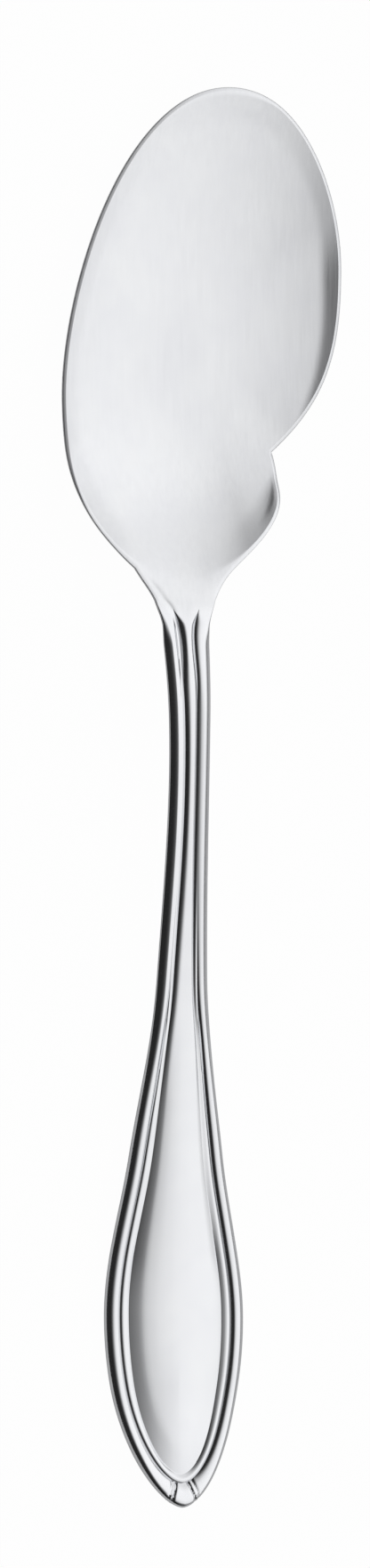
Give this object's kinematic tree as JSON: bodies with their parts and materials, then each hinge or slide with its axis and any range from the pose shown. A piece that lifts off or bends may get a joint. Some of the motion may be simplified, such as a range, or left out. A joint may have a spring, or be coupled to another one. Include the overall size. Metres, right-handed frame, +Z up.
{
  "type": "sauce spoon",
  "caption": "Steel sauce spoon with a flat, shallow oval bowl notched on one side, an arched stem with rounded threads and a wide, pointed handle end with a beaded border.",
  "frame": {"origin": "on the table, under the middle of the spoon's bounding box", "axes": "+Y along the spoon towards the tip of the bowl, +X towards the notched side, +Z up out of the open bowl"},
  "size_m": [0.0402, 0.1872, 0.0105],
  "materials": {
    "satin_steel": "satin",
    "polished_steel": "polished"
  },
  "bodies": {
    "root": {"bowl": "satin_steel", "handle": "polished_steel"}
  },
  "joints": []
}
